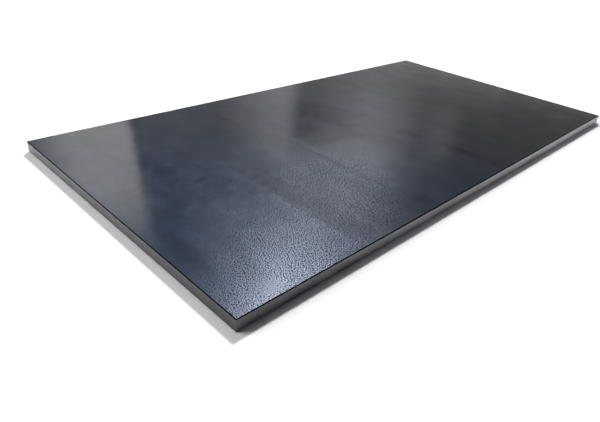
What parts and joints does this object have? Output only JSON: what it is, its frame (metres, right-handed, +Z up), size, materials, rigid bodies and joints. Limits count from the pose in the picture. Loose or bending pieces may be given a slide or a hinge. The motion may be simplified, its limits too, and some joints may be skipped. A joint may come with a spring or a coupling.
{
  "type": "steel plate",
  "caption": "Flat rectangular hot-rolled steel plate with dark blue-grey mill scale on its rolled faces and bare cut edges, stock for welding, cutting or use as a base.",
  "frame": {"origin": "middle of the underside, on which the plate rests", "axes": "+X along the longer sides, +Y along the shorter sides, +Z up through the thickness"},
  "size_m": [0.6, 0.3, 0.01],
  "materials": {
    "rolled_steel": "satin dark blue-grey mill scale on the rolled faces, bare grey metal on the cut edges"
  },
  "bodies": {
    "root": {"steel_plate": "rolled_steel"}
  },
  "joints": []
}
